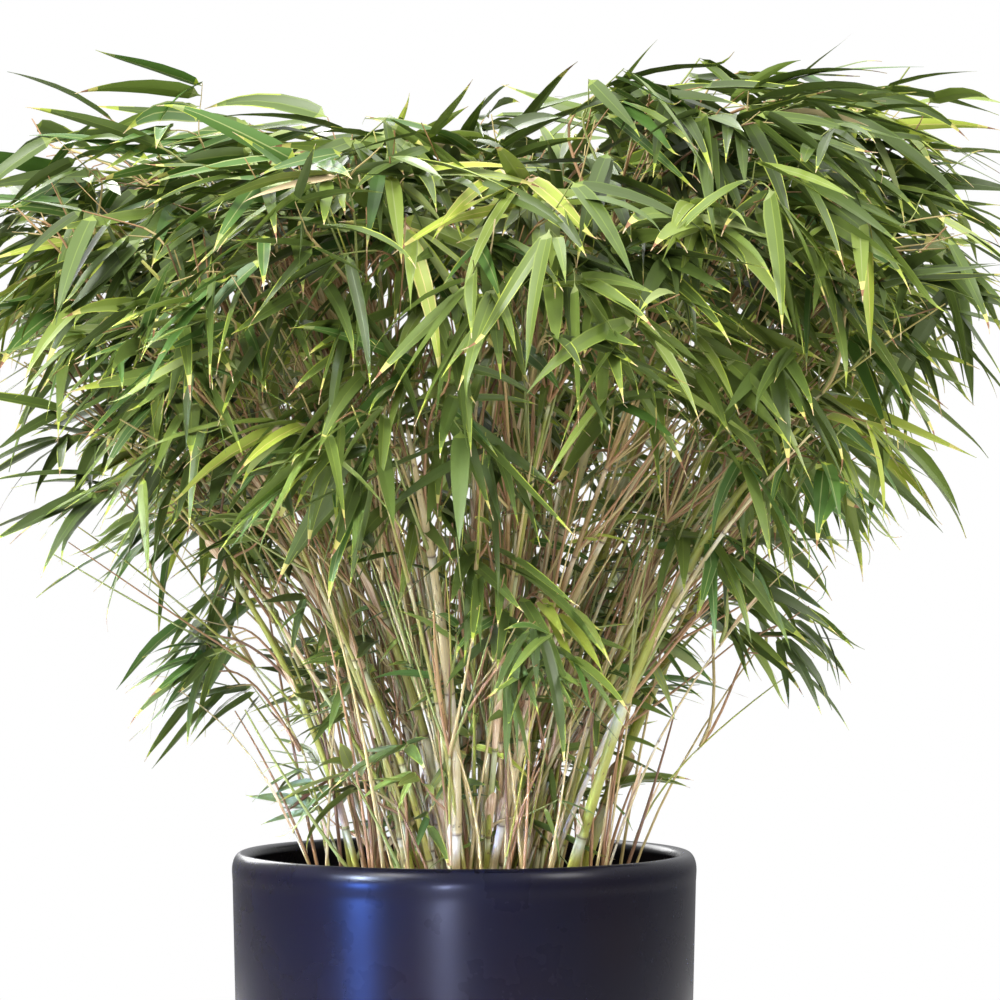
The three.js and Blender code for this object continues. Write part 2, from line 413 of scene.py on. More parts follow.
def cane_path(foot, end, rng):
    """A quadratic Bezier curve from foot to end that leaves the soil steeply, with a slight wander."""
    bend = foot + (end - foot) * [BEND_OUT, BEND_OUT, BEND_UP]
    bend = bend + rng.normal(0, 0.012, 3) * LEVEL
    t = np.linspace(0, 1, PATH_ROWS)
    path = bezier([foot, bend, end], t)
    wander = rng.normal(0, 0.0035, (2, 2))
    for axis in range(2):
        path[:, axis] += wander[axis, 0] * np.sin(np.pi * t) + wander[axis, 1] * np.sin(2 * np.pi * t)
    return path


@functools.cache
def grow():
    """The whole plant as data: its canes, their joints and its sprays, from one seeded rule."""
    canes_set, leaves_set = bpy.context.scene.bamboo_canes, bpy.context.scene.bamboo_leaves
    rng = draws(0)
    masses = [Mass(name) for name in MASSES]
    canes = []
    for number, mass in enumerate(masses):
        foot, radius = cane_foot(mass)
        stout = rng.choice([rng.uniform(0.45, 0.65), rng.uniform(0.8, 1.0)], p=[0.6, 0.4])
        if mass.tier in ("lower", "skirt"):
            stout = 0.4
        canes.append(make_cane(foot, mass.middle, radius * stout, number, rng))
        for end in mass.scatter(round((canes_set.per_mass - 1) * TIERS[mass.tier].extra_canes), rng):
            for _ in range(40):
                beside = foot * rng.uniform(0.1, 1.0) + rng.normal(0, 0.014, 3) + [0.006, 0, 0]
                beside[2] = foot[2]
                near = min(np.linalg.norm(beside - cane["path"][0]) for cane in canes)
                if near > 0.006 and off_axis(beside) < SOIL_HIGH[0] - 0.02:
                    break
            end = mass.middle + 0.75 * (end - mass.middle)
            slim = rng.choice([rng.uniform(0.2, 0.42), rng.uniform(0.42, 0.85)], p=[0.8, 0.2])
            canes.append(make_cane(beside, end, radius * slim, number, rng))
    joints = {key: np.concatenate([cane[key] for cane in canes]) for key in ("at", "heading", "mass")}
    sprays = []
    full = np.median([np.prod(m.high - m.low) for m in masses if m.tier == "upper"])
    for number, mass in enumerate(masses):
        tier = TIERS[mass.tier]
        share = tier.density * (np.prod(mass.high - mass.low) / full) ** 0.6
        for target in mass.scatter(max(4, round(leaves_set.sprays * share)), rng):
            outward = unit(target * LEVEL - [0.02, 0, 0])
            target = mass.middle + SHRINK * (target - mass.middle) - tier.draw_in * outward
            target = target + tier.raised * UP
            sprays.append(make_spray(target, outward, number, mass, joints, rng))
    sprays.extend(low_sprays(joints, rng))
    return {"canes": canes, "sprays": sprays, "joints": joints}


def make_cane(foot, end, radius, number, rng):
    """One cane: its path and radius, and for each joint its place, its direction and the number of the mass
    that the cane feeds."""
    path = cane_path(foot, end, rng)
    length = lengths_along(path)[-1]
    spacing = bpy.context.scene.bamboo_canes.internode * rng.uniform(0.8, 1.3)
    marks = 0.03 + spacing * (np.arange(int((length - 0.04) / spacing)) + rng.uniform(0, 0.5))
    marks = marks[marks < length - 0.01]
    ahead = walk(path, np.minimum(marks + 0.004, length)) - walk(path, marks - 0.004)
    return {"path": path, "length": length, "radius": radius, "tone": rng.uniform(), "marks": marks,
            "at": walk(path, marks), "heading": unit(ahead), "mass": np.full(len(marks), number)}


def make_spray(target, outward, number, mass, joints, rng):
    """A branch from the best joint to a target, and the twigs that fan from its end.

    The best joint is the one with the least distance to the target, counted dearer when the way there turns
    sharply from the cane or falls, when it is very short, or when the cane feeds another mass.
    """
    away = target - joints["at"]
    distance = np.linalg.norm(away, axis=1)
    along = (away * joints["heading"]).sum(1) / np.maximum(distance, 1e-6)
    cost = distance + 0.11 * (1 - along) + 0.6 * np.maximum(-away[:, 2], 0)
    cost = cost + 0.05 * (joints["mass"] != number)
    cost = cost + rng.uniform(0, 0.05, len(cost)) + 0.2 * np.maximum(0.09 - distance, 0) / 0.09
    best = int(np.argmin(cost))
    start, heading = joints["at"][best], joints["heading"][best]
    run = distance[best]
    pitch = math.radians(TIERS[mass.tier].pitch)
    level = outward + rng.normal(0, 0.8) * np.cross(UP, outward)
    final = unit(unit(target - start) + 0.8 * unit(level) + 0.8 * math.sin(pitch) * UP)
    leave = unit(heading + 0.5 * unit(target - start) + rng.normal(0, 0.1, 3))
    branch = [start, start + leave * run * 0.4, target - final * run * 0.25, target]
    twigs = []
    for turn in range(3):
        spread = unit(final + rng.normal(0, 0.45, 3))
        reach = rng.uniform(0.025, 0.06)
        root = bezier(branch, np.array([0.66 + 0.16 * turn]))[0]
        tip = root + reach * spread
        twigs.append([root, root + reach * 0.4 * unit(final + 0.3 * spread), tip - reach * 0.3 * spread, tip])
    return {"branch": branch, "twigs": twigs, "outward": unit(level), "tier": mass.tier, "scale": 1.0}


def some_joints(joints, bottom, top, amount, cone, rng):
    """Numbers of joints drawn from those between two heights over the soil and inside a cone that widens
    upwards."""
    rise = joints["at"][:, 2] - SOIL_HIGH[2]
    inside = off_axis(joints["at"]) < cone[0] + cone[1] * rise
    return rng.permutation(np.flatnonzero(inside & (rise > bottom) & (rise < top)))[:amount]


def low_sprays(joints, rng):
    """Short young sprays that stand round the foot of the clump and on the bare part of its canes."""
    sprays = []
    starts = np.concatenate([some_joints(joints, *band, (0.135, 0.35), rng) for band in LOW_BANDS])
    for start in joints["at"][starts]:
        outward = unit(start * LEVEL + rng.normal(0, 0.05, 3) * LEVEL)
        final = unit(outward * 0.4 + UP * rng.uniform(0.3, 1.0) + rng.normal(0, 0.25, 3))
        target = start + final * rng.uniform(0.02, 0.05)
        branch = [start, start + UP * 0.015, target - final * 0.012, target]
        twig = [target, target + final * 0.01, target + final * 0.02, target + final * 0.03]
        sprays.append({"branch": branch, "twigs": [twig], "outward": outward, "tier": "low",
                       "scale": rng.uniform(0.42, 0.72) + 0.6 * max(start[2] - SOIL_HIGH[2] - 0.15, 0)})
    return sprays


@functools.cache
def leaf_stations():
    """Where each leaf starts and how it lies: alternate sides of a twig, then one at its tip."""
    settings = bpy.context.scene.bamboo_leaves
    rng = draws(1)
    rows = []
    for number, spray in enumerate(grow()["sprays"]):
        tone = rng.uniform()
        tier = TIERS[spray["tier"]]
        pitch = math.radians(tier.pitch + rng.normal(0, PITCH_SPREAD))
        hang = math.cos(pitch) * spray["outward"] + math.sin(pitch) * UP
        for twig in spray["twigs"]:
            amount = rng.integers(3, 6)
            t = np.append(np.linspace(0.5, 0.95, amount - 1), 1.0)
            spots = bezier(twig, t)
            ahead = unit(bezier(twig, np.minimum(t + 0.05, 1.0)) - bezier(twig, t - 0.05))
            flip = rng.choice([-1, 1])
            for k in range(amount):
                lean = unit(0.5 * ahead[k] + 1.1 * hang + rng.normal(0, 0.42, 3))
                level = unit(np.cross(lean, UP) + 1e-6)
                swing = 0 if k == amount - 1 else flip * (-1) ** k * math.radians(rng.uniform(12, 50))
                heading = unit(lean * math.cos(swing) + level * math.sin(swing))
                scale = spray["scale"] * tier.leaf_scale * rng.triangular(0.45, 0.95, 1.32)
                rows.append((spots[k], heading, number, tone, scale))
    base, heading, number, tone, scale = (np.array(column) for column in zip(*rows))
    count = len(base)
    length = settings.length * scale
    return {
        "base": base, "heading": heading, "spray": number, "tone": tone,
        "length": length,
        "width": settings.width * scale ** 0.7 * rng.uniform(0.7, 1.15, count),
        "bend": settings.droop * rng.uniform(0.0, 1.8, count),
        "hook": rng.normal(0, 0.5, count) * (rng.uniform(0, 1, count) < 0.4),
        "fold": np.radians(rng.uniform(5, 24, count)),
        "roll": rng.normal(0, 0.6, count),
        "twist": rng.normal(0, 0.5, count),
        "ripple": rng.uniform(0.0, 0.0007, count),
        "luck": rng.uniform(0, 1, (count, 4)),
    }


# ---- finishes

def plain(name, colour, roughness, **constants):
    """A single-colour finish whose numbers stand on the shader's own sockets."""
    material = bpy.data.materials.new(name)
    material.use_nodes = True
    shader = material.node_tree.nodes["Principled BSDF"]
    shader.inputs["Base Color"].default_value = (*colour, 1)
    shader.inputs["Roughness"].default_value = roughness
    for socket, value in constants.items():
        shader.inputs[socket.replace("_", " ")].default_value = value
    material.diffuse_color = (*colour, 1)
    return material


class Nodes:
    """Adds nodes to a node tree and joins them."""

    def __init__(self, tree):
        self.tree = tree

    def put(self, socket, value):
        """Links an output into a socket, or sets a plain number or colour on it."""
        if isinstance(value, bpy.types.NodeSocket):
            self.tree.links.new(value, socket)
        elif socket.type == "RGBA":
            socket.default_value = (*value, 1)
        else:
            socket.default_value = value

    def node(self, kind, inputs, **values):
        made = self.tree.nodes.new(kind)
        for key, value in values.items():
            setattr(made, key, value)
        for key, value in inputs.items():
            self.put(made.inputs[key], value)
        return made


class Finish(Nodes):
    """A small maker of procedural finishes: each call adds a node or two and returns the output."""

    def __init__(self, name, roughness, **constants):
        self.material = plain(name, (0.5, 0.5, 0.5), roughness, **constants)
        super().__init__(self.material.node_tree)
        self.shader = self.tree.nodes["Principled BSDF"]

    def place(self):
        return self.node("ShaderNodeTexCoord", {}).outputs["Object"]

    def attribute(self, name, output="Vector"):
        return self.node("ShaderNodeAttribute", {}, attribute_name=name).outputs[output]

    def noise(self, vector, scale, detail=3.0, roughness=0.55):
        """Fractal noise. Three scales instead of one stretch it along the axes."""
        if isinstance(scale, tuple):
            vector = self.node("ShaderNodeMapping", {"Vector": vector, "Scale": scale}).outputs["Vector"]
            scale = 1.0
        inputs = {"Vector": vector, "Scale": scale, "Detail": detail, "Roughness": roughness}
        return self.node("ShaderNodeTexNoise", inputs).outputs["Fac"]

    def ramp(self, value, *stops):
        """Colour stops as (position, colour); a single number stands for a grey."""
        made = self.node("ShaderNodeValToRGB", {"Fac": value})
        points = made.color_ramp.elements
        while len(points) < len(stops):
            points.new(0.5)
        for point, (position, colour) in zip(points, stops):
            point.position = position
            point.color = (*colour, 1) if isinstance(colour, (tuple, list)) else (colour, colour, colour, 1)
        return made.outputs["Color"]

    def mix(self, share, first, second):
        return self.node("ShaderNodeMix", {0: share, 6: first, 7: second}, data_type="RGBA").outputs[2]

    def line(self, value, slope, offset=0.0):
        """slope . value + offset"""
        inputs = {0: value, 1: slope, 2: offset}
        return self.node("ShaderNodeMath", inputs, operation="MULTIPLY_ADD").outputs[0]

    def bump(self, height, strength, distance):
        made = self.node("ShaderNodeBump", {"Height": height, "Strength": strength, "Distance": distance})
        self.feed("Normal", made.outputs["Normal"])

    def feed(self, socket, value):
        self.put(self.shader.inputs[socket], value)


def glaze_finish():
    """Deep satin glaze: slow clouding of the colour, fine orange-peel relief, and a few dull dust specks."""
    f = Finish("satin_glaze", 0.3, Specular_IOR_Level=0.13, Coat_Weight=0.03, Coat_Roughness=0.12)
    colour = tuple(bpy.context.scene.bamboo_planter.glaze)
    warm = (colour[0] * 1.6, colour[1] * 0.95, colour[2] * 0.75)
    dusty = tuple(c * 3 + 0.01 for c in colour)
    here = f.place()
    cloud = f.ramp(f.noise(here, 7.0, 4.0), (0.35, 0.0), (0.7, 1.0))
    specks = f.ramp(f.noise(here, 210.0), (0.68, 0.0), (0.78, 1.0))
    f.feed("Base Color", f.mix(f.line(specks, 0.5), f.mix(cloud, colour, warm), dusty))
    f.feed("Roughness", f.line(f.noise(here, 16.0, 4.0), 0.12, f.line(specks, 0.25, 0.22)))
    f.bump(f.noise(here, 300.0, 2.0), 0.10, 0.0005)
    return f.material


def soil_finish():
    """Damp potting mix: dark and pale crumbs, which are its relief too, and pale grit."""
    f = Finish("potting_soil", 0.95)
    colour = tuple(bpy.context.scene.bamboo_planter.soil)
    here = f.place()
    crumbs = f.noise(here, 160.0, 6.0, 0.7)
    dark = tuple(c * 0.4 for c in colour)
    light = tuple(c * 3.2 for c in colour)
    tone = f.ramp(crumbs, (0.3, dark), (0.52, colour), (0.72, light))
    grit = f.ramp(f.noise(here, 420.0, 1.0), (0.7, 0.0), (0.74, 1.0))
    f.feed("Base Color", f.mix(grit, tone, (0.24, 0.2, 0.15)))
    f.feed("Roughness", f.line(crumbs, 0.25, 0.72))
    f.bump(crumbs, 0.9, 0.004)
    return f.material


def cane_finish(name, young, ripe, aged, wax):
    """Cane skin: lengthwise fibres, a slow change of colour from cane to cane and along each one, a pale waxy
    band under every joint with a dark scar over it, and age spots."""
    f = Finish(name, 0.42, Specular_IOR_Level=0.5)
    grain = f.attribute("grain")
    ring = f.attribute("joint_ring", "Fac")
    scar = f.attribute("joint_scar", "Fac")
    tone = f.attribute("tone", "Fac")
    fibre = f.noise(grain, (900.0, 900.0, 14.0), 4.0, 0.6)
    drift = f.noise(grain, (30.0, 30.0, 9.0))
    base = f.ramp(f.line(drift, 0.7, f.line(tone, 0.45)), (0.32, young), (0.55, ripe), (0.78, aged))
    lined = f.mix(f.ramp(fibre, (0.36, 0.45), (0.6, 0.0)), base, tuple(c * 0.45 for c in aged))
    spots = f.ramp(f.noise(grain, (260.0, 260.0, 110.0), 2.0), (0.66, 0.0), (0.72, 0.75))
    spotted = f.mix(spots, lined, (0.11, 0.055, 0.025))
    waxed = f.mix(f.line(ring, 0.75), spotted, wax)
    f.feed("Base Color", f.mix(f.line(scar, 0.85), waxed, (0.09, 0.05, 0.025)))
    f.feed("Roughness", f.line(fibre, 0.3, f.line(ring, 0.2, 0.25)))
    f.bump(fibre, 0.35, 0.0004)
    return f.material


def sheath_finish():
    """Papery cane sheath: pale straw with fine brown ribs that run lengthwise, and blotches."""
    f = Finish("papery_sheath", 0.7)
    grain = f.attribute("grain")
    rib = f.noise(grain, (700.0, 700.0, 12.0), 3.0, 0.6)
    blotch = f.noise(grain, 60.0, 4.0)
    straw = f.ramp(rib, (0.3, (0.36, 0.2, 0.09)), (0.5, (0.68, 0.5, 0.29)), (0.7, (0.82, 0.69, 0.46)))
    f.feed("Base Color", f.mix(f.ramp(blotch, (0.5, 0.0), (0.72, 0.55)), straw, (0.4, 0.2, 0.1)))
    f.feed("Roughness", f.line(rib, 0.3, 0.5))
    f.bump(rib, 0.5, 0.0005)
    return f.material


# Leaf colours: name, plain colour, roughness. The first seven are for blades, from dark to light.
LEAF_TINTS = [
    ("leaf_shade", (0.06, 0.09, 0.02), 0.42),
    ("leaf_deep", (0.088, 0.134, 0.026), 0.38),
    ("leaf_vivid", (0.08, 0.165, 0.03), 0.42),
    ("leaf_green", (0.138, 0.198, 0.036), 0.4),
    ("leaf_fresh", (0.205, 0.272, 0.048), 0.42),
    ("leaf_pale", (0.285, 0.345, 0.12), 0.5),
    ("leaf_lime", (0.375, 0.45, 0.06), 0.45),
    ("leaf_yellow", (0.6, 0.55, 0.16), 0.5),
    ("leaf_straw", (0.64, 0.5, 0.3), 0.6),
    ("leaf_brown", (0.3, 0.15, 0.075), 0.65),
]
# One step lighter, for ribs, stalks and the outer part of a blade.
LIGHTER = np.array([1, 3, 5, 4, 5, 6, 7, 8, 8, 8])
LIME, YELLOW, STRAW, BROWN = 6, 7, 8, 9
# A leaf ages from its tip: past each age, some of its last rows take a colour.
AGEING = [(0.25, slice(-2, None), LIME), (0.38, -1, YELLOW), (0.50, -1, STRAW), (0.64, -2, YELLOW),
          (0.76, -3, LIME), (0.86, -2, BROWN), (0.86, -3, YELLOW)]
# Up to which tone each blade colour goes.
LADDER = np.array([0.14, 0.40, 0.51, 0.80, 0.92, 0.97, 1.01])
TWIG_TINTS = [
    ("twig_rose", (0.40, 0.225, 0.105), 0.5),
    ("twig_straw", (0.50, 0.39, 0.165), 0.55),
    ("twig_olive", (0.28, 0.32, 0.09), 0.5),
    ("twig_umber", (0.185, 0.10, 0.048), 0.6),
]


def finishes(tints, **constants):
    """A table of colours as materials, made once and shared by all the pieces that use the table."""
    ready = bpy.data.materials
    return [ready.get(name) or plain(name, *look, **constants) for name, *look in tints]


# ---- pieces

def tint_leaves(leaf, chosen):
    """A colour number for every face (N, rows, columns).

    The spray's tone and a little luck set the blade. Its age then sets how far lime margins and a yellow,
    straw or brown tip reach back along it.
    """
    tone, luck = leaf["tone"][chosen], leaf["luck"][chosen]
    blade = np.searchsorted(LADDER, np.clip(tone + 0.3 * (luck[:, 0] - 0.5), 0, 1))
    faces = np.tile(blade[:, None, None], (1, *LEAF_CELLS))
    faces[:, :, 2] = np.where(luck[:, 1] < 0.6, LIGHTER[blade], blade)[:, None]
    faces[:, :2] = LIGHTER[LIGHTER[blade]][:, None, None]
    age = luck[:, 3]
    faces[age > 0.2, -3:] = LIGHTER[blade[age > 0.2]][:, None, None]
    for column in (0, 4):
        faces[luck[:, 2] < 0.5, 2:-3, column] = LIGHTER[blade[luck[:, 2] < 0.5]][:, None]
        faces[age > 0.45, -4:, column] = LIME
        faces[(age > 0.6) & (luck[:, 2] < 0.3), 4:, column] = LIME
    for start, tip_rows, colour in AGEING:
        faces[age > start, tip_rows] = colour
    dead = luck[:, 1] > 0.993
    faces[dead] = np.where(luck[dead, 2] > 0.4, STRAW, BROWN)[:, None, None]
    return faces


PLANTER_SIDES, SOIL_SIDES, SOIL_RINGS, CANE_SIDES, FLOOR_SIDES = 192, 150, 70, 10, 96
OVERHANG = 0.022  # how far a leaf may pass the CAD box
STRAY = 0.035  # how far a leaf may hang out of the masses


def clear_of_planter(grid):
    """True for each leaf that has no point both under the rim and as far out as the planter's wall."""
    low, outer = grid[..., 2] < POT_HIGH[2] + 0.004, off_axis(grid) > SOIL_HIGH[0] - 0.003
    return ~np.any(low & outer, axis=(1, 2))


def leaf_piece(name, grid, colours):
    """Leaves as one piece, from their grids and a colour number for each face."""
    index = np.arange(grid[..., 0].size).reshape(grid.shape[:3])
    faces = np.roll(cells(index)[:, ::-1], 1, axis=1)
    return make_piece(name, grid.reshape(-1, 3), [faces], finishes(LEAF_TINTS, Specular_IOR_Level=0.38),
                      colours.reshape(-1))


def build_leaves(name, tiers):
    """All leaves of the sprays in some tiers, as one piece, without those that would leave the plant's box,
    stray far from the masses or cut through the planter."""
    leaf, sprays = leaf_stations(), grow()["sprays"]
    keys = ("base", "heading", "length", "width", "bend", "hook", "fold", "roll", "twist", "ripple")
    kept = np.array([sprays[number]["tier"] in tiers for number in leaf["spray"]])
    grid = leaf_blades(*(leaf[key][kept] for key in keys))
    low, high = np.array(CAD_BOX[0]) - OVERHANG, np.array(CAD_BOX[1]) + [OVERHANG, OVERHANG, 0.002]
    young = np.array([sprays[number]["tier"] == "low" for number in leaf["spray"][kept]])
    good = (crown_gap(grid[:, -3, 2]) < STRAY) | young
    good &= clear_of_planter(grid) & np.all((grid >= low) & (grid <= high), axis=(1, 2, 3))
    kept[np.flatnonzero(kept)] = good
    return leaf_piece(name, grid[good], tint_leaves(leaf, kept))


SHOOT_ROWS, REED_ROWS = 7, 9
REEDS, LITTER = 100, 90


def side_shoots(rng, bottom, top, amount, reach, splay):
    """Slender bare shoots that rise in narrow fans from joints between two heights over the soil.

    Those that would end high up outside the masses are left out.
    """
    starts, joints = [], grow()["joints"]
    for joint in some_joints(joints, bottom, top, amount, (0.13, 0.4), rng):
        starts.extend([joint] * rng.integers(2, 6))
    base, heading = joints["at"][starts], joints["heading"][starts]
    reach = rng.uniform(*reach, len(base))[:, None]
    aim = unit(heading + rng.normal(0, splay, (len(base), 3)))
    tip = base + reach * unit(aim + 0.25 * heading)
    knee = base + reach * 0.35 * aim
    short = (crown_gap(tip) < 0) | (tip[:, 2] < SOIL_HIGH[2] + 0.4)
    return arched(base[short], knee[short], tip[short], SHOOT_ROWS)


def dry_reeds(rng):
    """Thin dead stalks that stand in the soil between the canes and lean out of the clump."""
    angle, ring = rng.uniform(0, 2 * np.pi, REEDS), 0.15 * rng.uniform(0, 1, REEDS) ** 0.6
    foot = polar(ring, angle, SOIL_HIGH[2]) + [0.008, 0, 0]
    height = rng.uniform(0.10, 0.36, REEDS)
    away = foot * LEVEL * rng.uniform(0.1, 0.8, (REEDS, 1)) * (height / 0.25)[:, None]
    tip = foot + away + height[:, None] * UP + rng.normal(0, 0.03, (REEDS, 3)) * LEVEL
    knee = 0.5 * (foot + tip) + rng.normal(0, 0.012, (REEDS, 3)) * LEVEL - 0.12 * away
    return arched(foot, knee, tip, REED_ROWS)


def build_thin_wood(name, kinds, rng):
    """Thin stalks as one piece. Each kind is its paths, radii, sides and shares of the four colours."""
    parts, tints = [], []
    for paths, radii, sides, shares in kinds:
        thick = radii * rng.uniform(0.8, 1.35, (len(paths), 1))
        points, faces = tubes(paths, thick, sides)
        parts.append((points, faces[:1]))
        tint = rng.choice(len(TWIG_TINTS), len(paths), p=shares)
        tints.append(np.repeat(tint, (paths.shape[1] - 1) * sides))
    points, faces = joined(parts)
    return make_piece(name, points, faces, finishes(TWIG_TINTS), np.concatenate(tints))


def build_twigs():
    """The branches and twigs that carry the leaves."""
    rng = draws(2)
    sprays = grow()["sprays"]
    branches = np.array([bezier(spray["branch"], np.linspace(0, 1, 9)) for spray in sprays])
    twigs = np.array([bezier(twig, np.linspace(0, 1, 5)) for spray in sprays for twig in spray["twigs"]])
    return build_thin_wood("twigs", [
        (branches, np.linspace(0.0016, 0.0009, 9), 5, (0.40, 0.27, 0.25, 0.08)),
        (twigs, np.linspace(0.0009, 0.0005, 5), 4, (0.40, 0.25, 0.27, 0.08)),
    ], rng)


def build_bare_shoots():
    """Bare side shoots along the canes and in the crown, and dry reeds between the canes."""
    rng = draws(5)
    return build_thin_wood("bare_shoots", [
        (side_shoots(rng, 0.10, 0.50, 260, (0.07, 0.23), 0.25),
         np.linspace(0.0015, 0.0006, SHOOT_ROWS), 5, (0.38, 0.30, 0.24, 0.08)),
        (side_shoots(rng, 0.34, 0.76, 430, (0.05, 0.15), 0.36),
         np.linspace(0.0014, 0.0006, SHOOT_ROWS), 5, (0.56, 0.24, 0.12, 0.08)),
        (dry_reeds(rng), np.linspace(0.0017, 0.0006, REED_ROWS), 5, (0.34, 0.44, 0.10, 0.12)),
    ], rng)


def cane_surface(cane, rng):
    """One cane as a tube whose rows crowd round its joints.

    The radius at distance s is r (1 - 0.22 s/L - 0.45 (s/L)^4), swollen by two narrow bells at each joint: a
    ridge on the joint and a sheath scar just under it. A third, wider bell marks the waxy band.
    """
    length, marks, radius = cane["length"], cane["marks"], cane["radius"]
    offsets = np.array([-0.009, -0.0045, -0.0028, -0.0014, 0, 0.0012, 0.0026, 0.006])
    rows = np.concatenate([np.linspace(0, length, 14), (marks[:, None] + offsets).ravel()])
    rows = np.unique(np.round(np.clip(rows, 0, length), 4))
    share = rows / length
    gap = rows[:, None] - marks
    ridge, scar, wax = (np.exp(-((gap + below) / width) ** 2).sum(1)
                        for below, width in ((0, 0.0013), (0.0028, 0.0012), (0.0075, 0.004)))
    thick = radius * (1 - 0.22 * share - 0.45 * share ** 4)
    thick = thick * (1 + 0.13 * ridge + 0.18 * scar)
    path = walk(cane["path"], rows)
    kink = 0.0012 * np.interp(rows, np.append(marks, length), (-1.0) ** np.arange(len(marks) + 1))
    path[:, :2] += kink[:, None] * rng.normal(0, 1, 2)
    points, faces = tubes(path[None], thick[None], CANE_SIDES)
    angle = np.tile(2 * np.pi * np.arange(CANE_SIDES) / CANE_SIDES, len(rows))
    around = np.repeat(thick, CANE_SIDES)
    height_up = np.repeat(rows, CANE_SIDES) + 10 * cane["tone"]
    values = {
        "grain": polar(around, angle, height_up),
        "joint_ring": np.repeat(np.clip(wax, 0, 1), CANE_SIDES),
        "joint_scar": np.repeat(np.clip(scar, 0, 1), CANE_SIDES),
        "tone": np.full(len(points), cane["tone"]),
    }
    return points, faces, values


CANE_KINDS = [
    # name, young, ripe, aged, wax, and where along the range of tones the kind ends
    ("canes_straw", (0.32, 0.34, 0.06), (0.50, 0.43, 0.13), (0.43, 0.29, 0.11), (0.80, 0.73, 0.50), 0.28),
    ("canes_rose", (0.44, 0.33, 0.12), (0.42, 0.26, 0.10), (0.24, 0.13, 0.05), (0.74, 0.62, 0.42), 0.44),
    ("canes_olive", (0.15, 0.22, 0.03), (0.32, 0.37, 0.05), (0.44, 0.38, 0.08), (0.66, 0.68, 0.46), 0.78),
    ("canes_cream", (0.72, 0.69, 0.32), (0.86, 0.80, 0.48), (0.60, 0.48, 0.23), (0.92, 0.89, 0.72), 1.01),
]


def build_canes():
    """The canes in four kinds of skin, one piece each. The first piece stands for the CAD canes."""
    rng = draws(3)
    surfaces = [(cane["tone"], cane_surface(cane, rng)) for cane in grow()["canes"]]
    pieces, start = [], 0.0
    for name, young, ripe, aged, wax, end in CANE_KINDS:
        own = [surface for tone, surface in surfaces if start <= tone < end]
        points, faces = joined([surface[:2] for surface in own])
        values = {key: np.concatenate([surface[2][key] for surface in own]) for key in own[0][2]}
        finish = cane_finish(name.replace("canes", "skin"), young, ripe, aged, wax)
        pieces.append(make_piece(name, points, faces, [finish], attributes=values))
        start = end
    return pieces


def build_sheaths():
    """Papery sheaths that wrap the canes over their joints and stand away from them at the top.

    Over (u, v), with u across the sheath and v up it, a point lies at angle a0 + span u round the cane, at
    radius r (1.15 + flare v^2) and at height h v (1 - 0.55 |2u - 1|^1.6), so the top is a pointed tongue.
    """
    rng = draws(4)
    u, v = np.linspace(0, 1, 9), np.linspace(0, 1, 7)
    parts, grains = [], []
    for cane in grow()["canes"]:
        for mark, joint, heading in zip(cane["marks"], cane["at"], cane["heading"]):
            if rng.uniform() > 0.42 or mark > 0.75 * cane["length"]:
                continue
            radius = cane["radius"] * (1 - 0.3 * mark / cane["length"])
            height, span = rng.uniform(0.025, 0.075), rng.uniform(3.3, 5.6)
            flare, start = rng.uniform(0.1, 1.3), rng.uniform(0, 6.3)
            side = unit(np.cross(heading, ASKEW))
            front = np.cross(heading, side)
            along = height * v[:, None] * (1 - 0.55 * np.abs(2 * u - 1) ** 1.6)
            angle = (start + span * u)[None] + 0.25 * v[:, None]
            away = radius * (1.15 + flare * v[:, None] ** 2) * np.ones_like(angle)
            ring = np.cos(angle)[..., None] * side + np.sin(angle)[..., None] * front
            grid = joint + along[..., None] * heading + away[..., None] * ring
            index = np.arange(along.size).reshape(along.shape)
            parts.append((grid.reshape(-1, 3), [cells(index)]))
            grains.append(polar(away, angle, along + mark + 7 * cane["tone"]).reshape(-1, 3))
    points, faces = joined(parts)
    grain = np.concatenate(grains)
    return make_piece("sheaths", points, faces, [sheath_finish()], attributes={"grain": grain})


def build_planter():
    """The planter as one closed lathe: foot, slightly tapered side, a faint step under a round lip, and the
    inner wall down to its floor."""
    settings = bpy.context.scene.bamboo_planter
    rim, height = settings.rim_radius, settings.height
    foot, wall, roll, drop = rim - 0.009, 0.014, 0.0085, 0.0155
    outer = rim - 0.0006
    side = np.linspace(0, 1, 12)[1:, None] * [outer - foot, height - 0.035] + [foot, 0.006]
    step = np.array([[outer, 0.0270], [outer + 0.0002, 0.0240], [rim - 0.0002, 0.0210], [rim, 0.0180]])
    quarter, turn = arc((0, 0), 1, 0, 90, 14), arc((0, 0), 1, 90, 195, 12)[1:]
    profile = np.concatenate([
        [[0, 0]],
        arc((foot - 0.006, 0.006), 0.006, -90, 0, 7),
        side,
        step * [1, -1] + [0, height],
        quarter * [roll, drop] + [rim - roll, height - drop],
        turn * roll + [rim - roll, height - roll],
        [[outer - wall, height - 0.03], [foot - wall, 0.02], [0, 0.02]],
    ])
    points, faces = lathe(profile, PLANTER_SIDES)
    return make_piece("planter", points, faces, [glaze_finish()])


